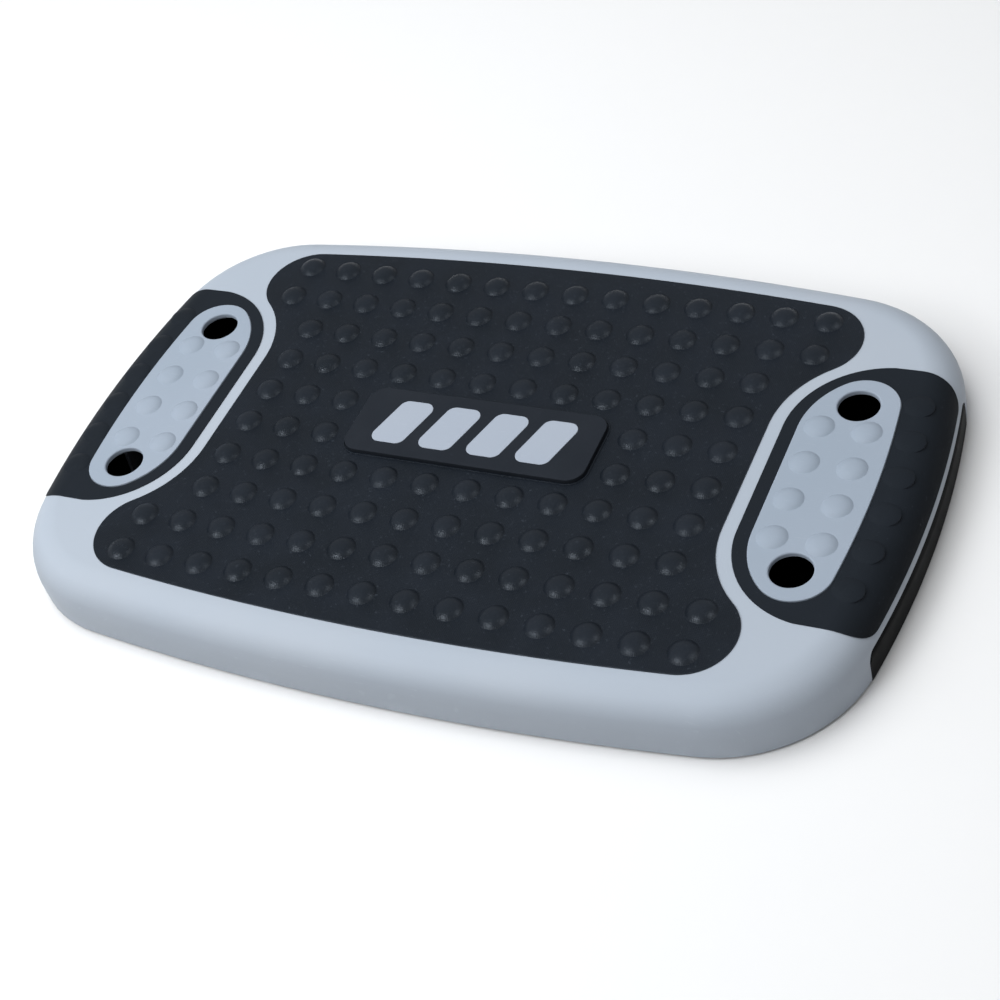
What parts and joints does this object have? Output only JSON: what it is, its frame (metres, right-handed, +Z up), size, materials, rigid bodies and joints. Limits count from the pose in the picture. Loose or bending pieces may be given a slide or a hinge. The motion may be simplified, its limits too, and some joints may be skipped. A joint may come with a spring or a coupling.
{
  "type": "aerobic step",
  "caption": "Low rounded exercise step with a domed rubber tread, rubber end grips, holed grip panels and a fold-out leg at each end.",
  "frame": {"origin": "on the floor, under the middle of the deck, legs folded", "axes": "+X along the deck towards its right-hand end, +Y across it towards the back, +Z up"},
  "size_m": [0.6784, 0.4378, 0.0518],
  "materials": {
    "grey_plastic": "satin moulded polypropylene",
    "light_grey_plastic": "satin moulded polypropylene",
    "black_rubber": "finely textured thermoplastic rubber",
    "black_plastic": "satin moulded polypropylene",
    "pale_grey_plastic": "satin moulded polypropylene",
    "zinc_steel": "zinc plated",
    "foot_rubber": "smooth soft rubber"
  },
  "bodies": {
    "deck": {"cap_screw_left_front_1": "zinc_steel", "cap_screw_left_front_2": "zinc_steel", "cap_screw_left_rear_1": "zinc_steel", "cap_screw_left_rear_2": "zinc_steel", "cap_screw_right_front_1": "zinc_steel", "cap_screw_right_front_2": "zinc_steel", "cap_screw_right_rear_1": "zinc_steel", "cap_screw_right_rear_2": "zinc_steel", "corner_foot_left_front": "foot_rubber", "corner_foot_left_rear": "foot_rubber", "corner_foot_right_front": "foot_rubber", "corner_foot_right_rear": "foot_rubber", "deck_shell": "grey_plastic", "end_grip_left": "black_rubber", "end_grip_right": "black_rubber", "grip_panel_left": "light_grey_plastic", "grip_panel_right": "light_grey_plastic", "hinge_cap_left_front": "black_plastic", "hinge_cap_left_rear": "black_plastic", "hinge_cap_right_front": "black_plastic", "hinge_cap_right_rear": "black_plastic", "hinge_rod_left": "zinc_steel", "hinge_rod_right": "zinc_steel", "name_plate": "black_plastic", "panel_screw_left_1": "zinc_steel", "panel_screw_left_2": "zinc_steel", "panel_screw_left_3": "zinc_steel", "panel_screw_right_1": "zinc_steel", "panel_screw_right_2": "zinc_steel", "panel_screw_right_3": "zinc_steel", "plate_inlay_1": "pale_grey_plastic", "plate_inlay_2": "pale_grey_plastic", "plate_inlay_3": "pale_grey_plastic", "plate_inlay_4": "pale_grey_plastic", "tread_mat": "black_rubber"},
    "leg_left": {"leg_frame_left": "black_plastic", "leg_sole_left": "foot_rubber"},
    "leg_right": {"leg_frame_right": "black_plastic", "leg_sole_right": "foot_rubber"}
  },
  "joints": [
    {"name": "leg_right_fold", "type": "hinge", "parent": "deck", "child": "leg_right", "pos_m": [0.309, 0, 0.008], "axis": [0, -1, 0], "range_deg": [0, 97]},
    {"name": "leg_left_fold", "type": "hinge", "parent": "deck", "child": "leg_left", "pos_m": [-0.309, 0, 0.008], "axis": [0, 1, 0], "range_deg": [0, 97]}
  ]
}
